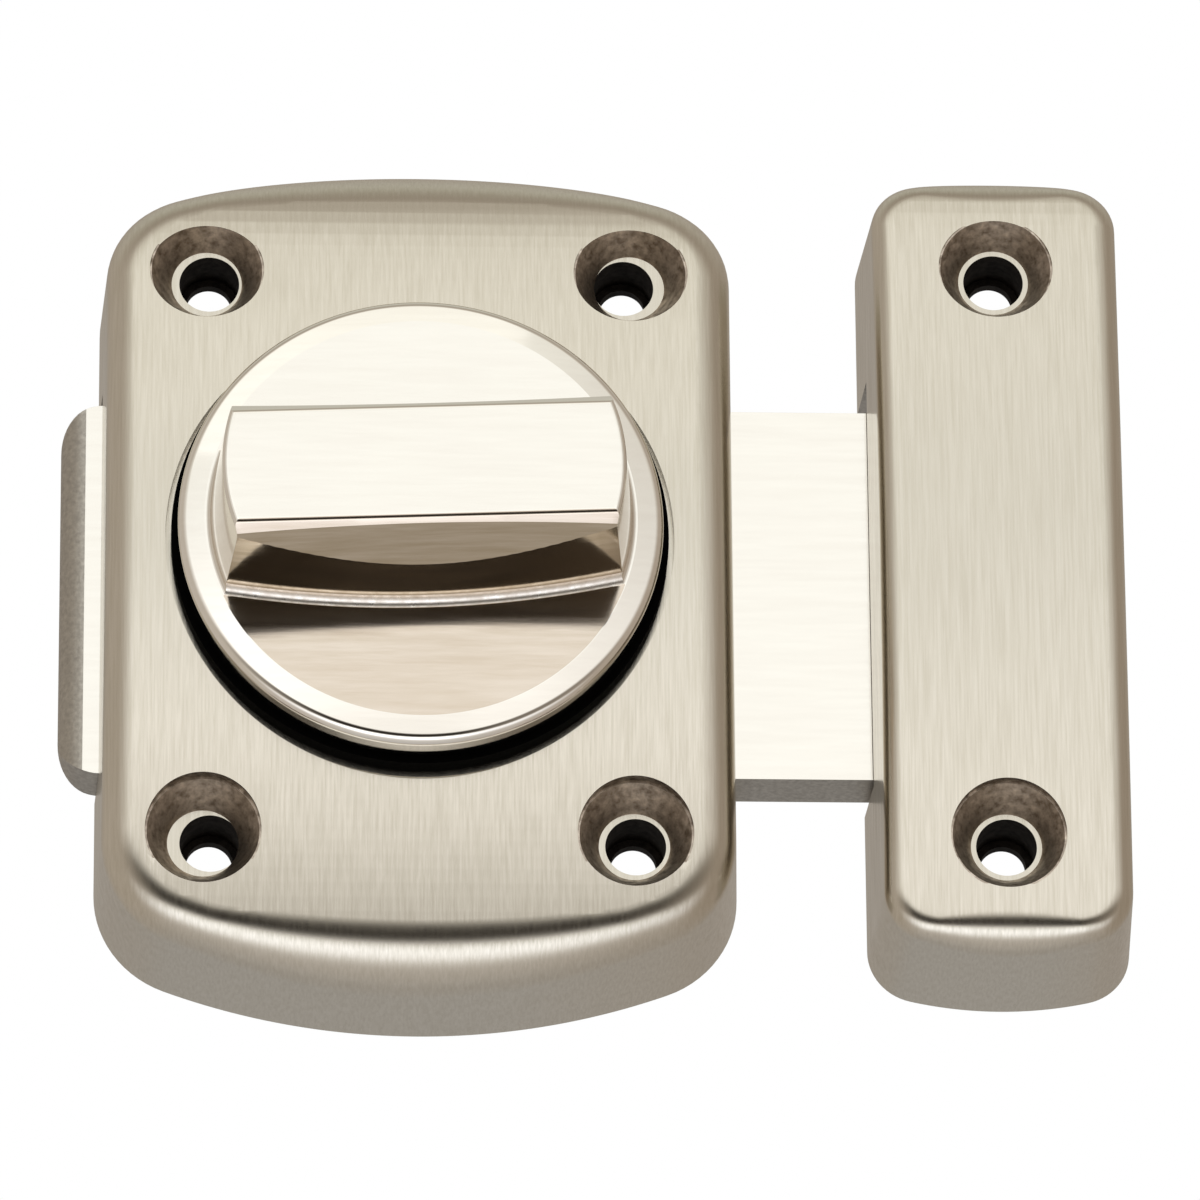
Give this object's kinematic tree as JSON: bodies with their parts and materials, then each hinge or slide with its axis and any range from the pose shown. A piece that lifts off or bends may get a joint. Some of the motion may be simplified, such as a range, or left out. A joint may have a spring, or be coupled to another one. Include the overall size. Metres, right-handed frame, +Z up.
{
  "type": "bathroom latch",
  "caption": "Surface-mounted turn-knob bathroom latch: arched case with a sliding flat bolt, and a separate keeper that the bolt enters.",
  "frame": {"origin": "on the door face, on the axis of the knob", "axes": "+Y into the door, +Z up the door, +X from the case towards the keeper"},
  "size_m": [0.0834, 0.0294, 0.071],
  "materials": {
    "satin_nickel": "satin nickel plate, brushed up and down",
    "polished_nickel": "bright nickel plate, hand polished",
    "bolt_nickel": "bright front face, as-cast tail and edges",
    "zinc_plated_steel": "bright zinc plate",
    "black_nylon": "black nylon, matt"
  },
  "bodies": {
    "housing": {"case": "satin_nickel", "back_plate": "zinc_plated_steel", "plate_screws": "zinc_plated_steel", "knob_washer": "black_nylon", "keeper": "satin_nickel"},
    "turn": {"knob": "polished_nickel", "crank": "zinc_plated_steel", "drive_pin": "zinc_plated_steel", "crank_screw": "zinc_plated_steel", "wave_washer": "zinc_plated_steel"},
    "bolt": {"bolt": "bolt_nickel"}
  },
  "joints": [
    {"name": "knob_turn", "type": "hinge", "parent": "housing", "child": "turn", "pos_m": [0, -0.0158, 0], "axis": [0, -1, 0], "range_deg": [0, 90]},
    {"name": "bolt_slide", "type": "slide", "parent": "housing", "child": "bolt", "axis": [-1, 0, 0], "range_m": [0, 0.0165]}
  ],
  "couplings": [
    {"joint": "bolt_slide", "follows": "knob_turn", "m_per_rad": 0.010504}
  ]
}
